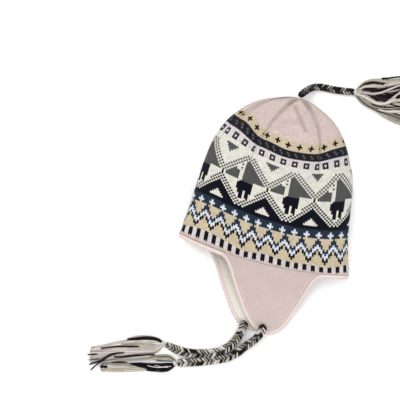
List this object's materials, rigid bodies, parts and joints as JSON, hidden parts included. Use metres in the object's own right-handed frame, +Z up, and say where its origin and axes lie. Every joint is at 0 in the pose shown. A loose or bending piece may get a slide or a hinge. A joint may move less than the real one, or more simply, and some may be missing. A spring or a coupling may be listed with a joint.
{
  "type": "chullo hat",
  "caption": "Knitted hat with a fleece lining, ear flaps, plaited ties and tassels, laid on its side. A soft open shell that is pulled over the head.",
  "frame": {"origin": "on the flat underside of the body, in the middle between its side folds", "axes": "+X towards the back of the hat, +Y from the hem towards the crown tip, +Z up from the surface it lies on"},
  "size_m": [0.4165, 0.558, 0.0583],
  "materials": {
    "knit_wool": "stranded wool knit, matt, in pale pink, cream, beige, navy and grey",
    "cream_fleece": "short matt fleece pile",
    "crochet_edging": "crocheted wool, matt, pale pink",
    "plaited_yarn": "plaited wool yarn in black, grey and cream, matt",
    "tassel_yarn": "loose cut wool yarn in cream, black, brown and grey, matt"
  },
  "bodies": {
    "root": {"knit_body": "knit_wool", "near_flap": "knit_wool", "far_flap": "knit_wool", "body_lining": "cream_fleece", "near_flap_lining": "cream_fleece", "far_flap_lining": "cream_fleece", "crochet_edging": "crochet_edging", "near_tie": "plaited_yarn", "far_tie": "plaited_yarn", "top_cord": "plaited_yarn", "near_tassel": "tassel_yarn", "far_tassel": "tassel_yarn", "top_tassel": "tassel_yarn"}
  },
  "joints": []
}
